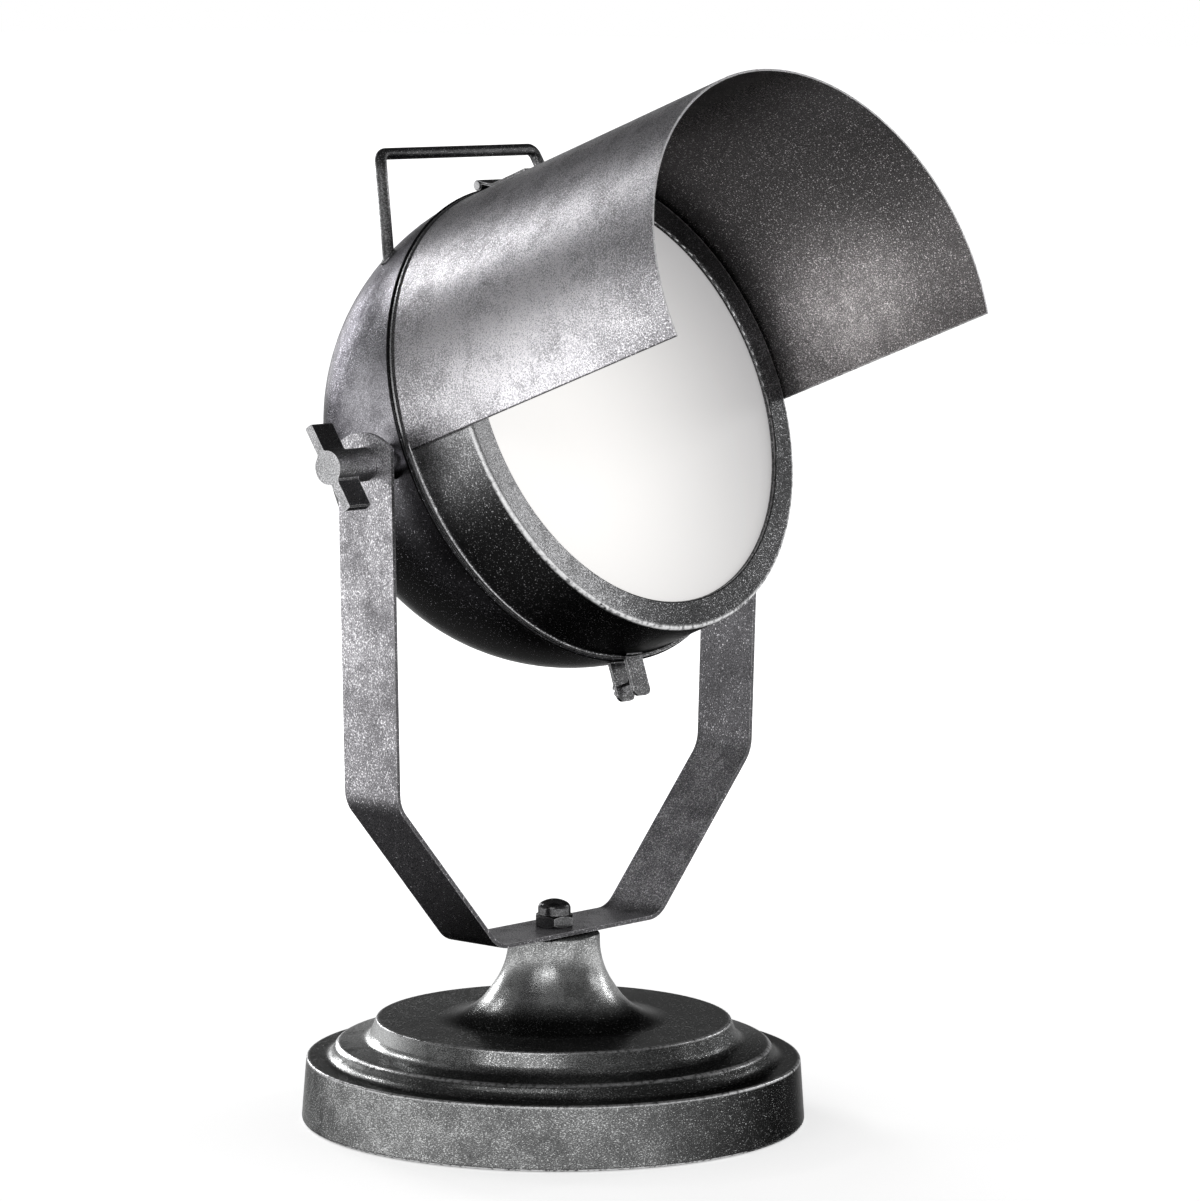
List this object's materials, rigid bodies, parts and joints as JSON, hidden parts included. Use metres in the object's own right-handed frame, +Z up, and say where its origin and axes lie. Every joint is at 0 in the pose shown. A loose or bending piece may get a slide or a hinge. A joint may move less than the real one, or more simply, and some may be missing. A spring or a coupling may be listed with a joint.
{
  "type": "tabletop searchlight lamp",
  "caption": "Tabletop searchlight lamp: round stepped foot, bent yoke that swivels, tilting head with hinged frosted lens ring, half-round visor and carrying handle.",
  "frame": {"origin": "centre of the underside of the foot, on the table", "axes": "+Z up along the swivel stud, X along the tilt axis, the lens faces -Y and 21 degrees upwards at rest"},
  "size_m": [0.3034, 0.2842, 0.4863],
  "materials": {
    "aluminium": "bright threaded cap",
    "antique_nickel": "dark antique nickel lacquer, dry-brushed with silver, worn edges, satin",
    "black_chrome": "polished black chrome",
    "black_plastic": "matt black moulding",
    "brass": "bright",
    "cast_iron": "black primed casting",
    "felt": "black felt",
    "fibre": "vulcanised fibre",
    "frosted_glass": "satin etched, lit from within",
    "opal_glass": "opal bulb",
    "rubber": "matt black",
    "steel": "bright zinc plated"
  },
  "bodies": {
    "base": {"foot_shell": "antique_nickel", "ballast_plate": "cast_iron", "stud_washer": "steel", "stud_nut": "steel", "centre_stud": "steel", "bottom_cover": "steel", "felt_pad": "felt", "swivel_washer": "fibre", "cap_nut": "black_chrome"},
    "yoke": {"yoke": "antique_nickel"},
    "head": {"rear_shell": "antique_nickel", "pivot_spacer_left": "antique_nickel", "pivot_spacer_right": "antique_nickel", "pivot_washer_left": "fibre", "pivot_washer_right": "fibre", "pivot_nut_left": "steel", "pivot_nut_right": "steel", "handle": "antique_nickel", "hinge_knuckle": "antique_nickel", "hinge_pin": "steel", "latch_tab_back": "antique_nickel", "nipple": "steel", "nipple_washer": "steel", "nipple_locknut": "steel", "lampholder": "black_plastic", "holder_sleeve": "aluminium", "holder_contact": "brass", "bulb_cap": "aluminium", "bulb_globe": "opal_glass", "cord_grip": "black_plastic"},
    "lens_door": {"lens_ring": "antique_nickel", "lens_pane": "frosted_glass", "lens_gasket": "rubber", "lens_clips": "steel", "visor": "antique_nickel", "hinge_leaf": "antique_nickel", "hinge_rivets": "steel", "latch_tab_front": "antique_nickel", "latch_nut": "steel"},
    "latch_screw": {"latch_screw": "steel"},
    "wing_screw_left": {"wing_screw_left": "antique_nickel"},
    "wing_screw_right": {"wing_screw_right": "antique_nickel"}
  },
  "joints": [
    {"name": "yoke_swivel", "type": "hinge", "parent": "base", "child": "yoke", "pos_m": [0, 0, 0.09], "axis": [0, 0, 1], "range_deg": [-180, 180]},
    {"name": "head_tilt", "type": "hinge", "parent": "yoke", "child": "head", "pos_m": [0, 0, 0.3125], "axis": [-1, 0, 0], "range_deg": [-75, 69]},
    {"name": "lens_door_hinge", "type": "hinge", "parent": "head", "child": "lens_door", "pos_m": [0, 0.03679, 0.43066], "axis": [-1, 0, 0], "range_deg": [0, 90]},
    {"name": "latch_screw_slide", "type": "slide", "parent": "head", "child": "latch_screw", "axis": [0, 0.9336, -0.3584], "range_m": [0, 0.008]},
    {"name": "wing_screw_left_turn", "type": "hinge", "parent": "head", "child": "wing_screw_left", "pos_m": [-0.1284, 0, 0.3125], "axis": [-1, 0, 0], "range_deg": [0, 360]},
    {"name": "wing_screw_right_turn", "type": "hinge", "parent": "head", "child": "wing_screw_right", "pos_m": [0.1284, 0, 0.3125], "axis": [1, 0, 0], "range_deg": [0, 360]}
  ]
}
